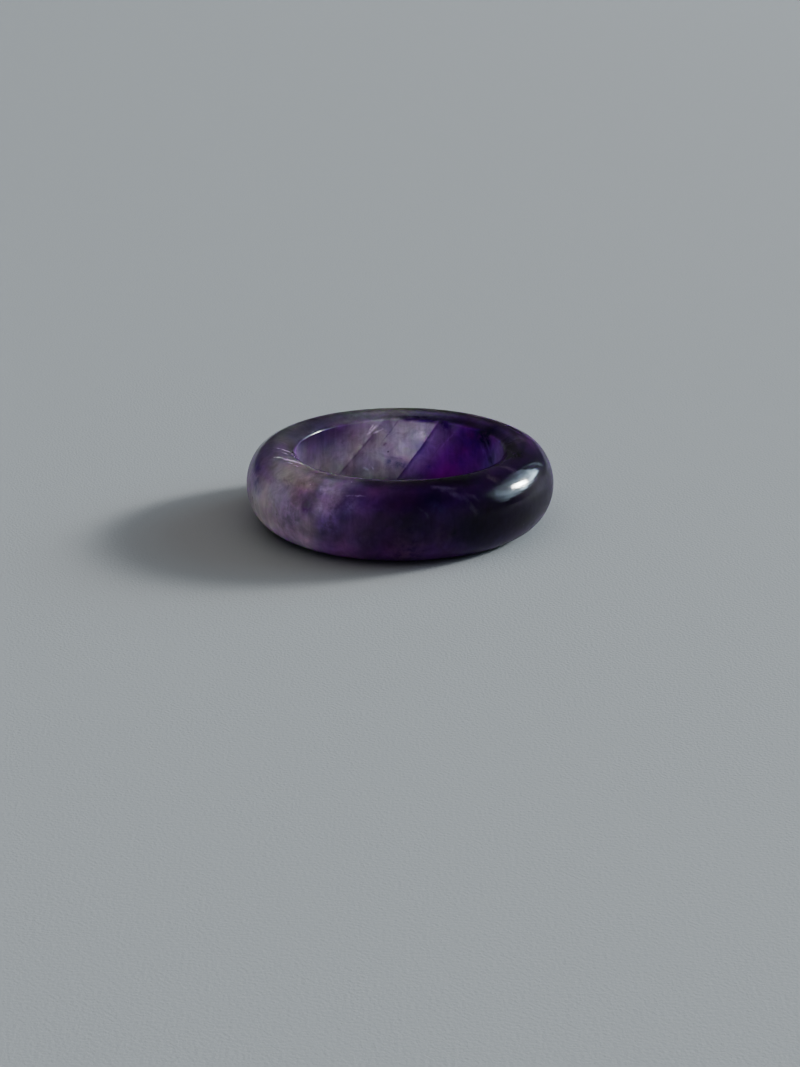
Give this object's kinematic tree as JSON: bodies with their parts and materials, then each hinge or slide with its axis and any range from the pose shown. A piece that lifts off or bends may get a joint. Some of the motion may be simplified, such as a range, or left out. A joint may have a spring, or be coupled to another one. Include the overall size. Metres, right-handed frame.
{
  "type": "stackable stone band ring",
  "caption": "Plain finger ring cut from one piece of banded violet stone: a thick rounded band with a straight bore, polished all over, that lies flat and stacks on its rounded sides.",
  "frame": {"origin": "on the surface the ring rests on, at the centre of the finger bore", "axes": "+Z along the finger bore and up from the resting side; +X to the wearer's right as the ring lies in front of them, +Y away from them"},
  "size_m": [0.0256, 0.0256, 0.0066],
  "materials": {
    "banded_amethyst": "high polish, translucent, banded from clear smoky grey through milky lilac to deep violet"
  },
  "bodies": {
    "root": {"stone_band": "banded_amethyst"}
  },
  "joints": []
}
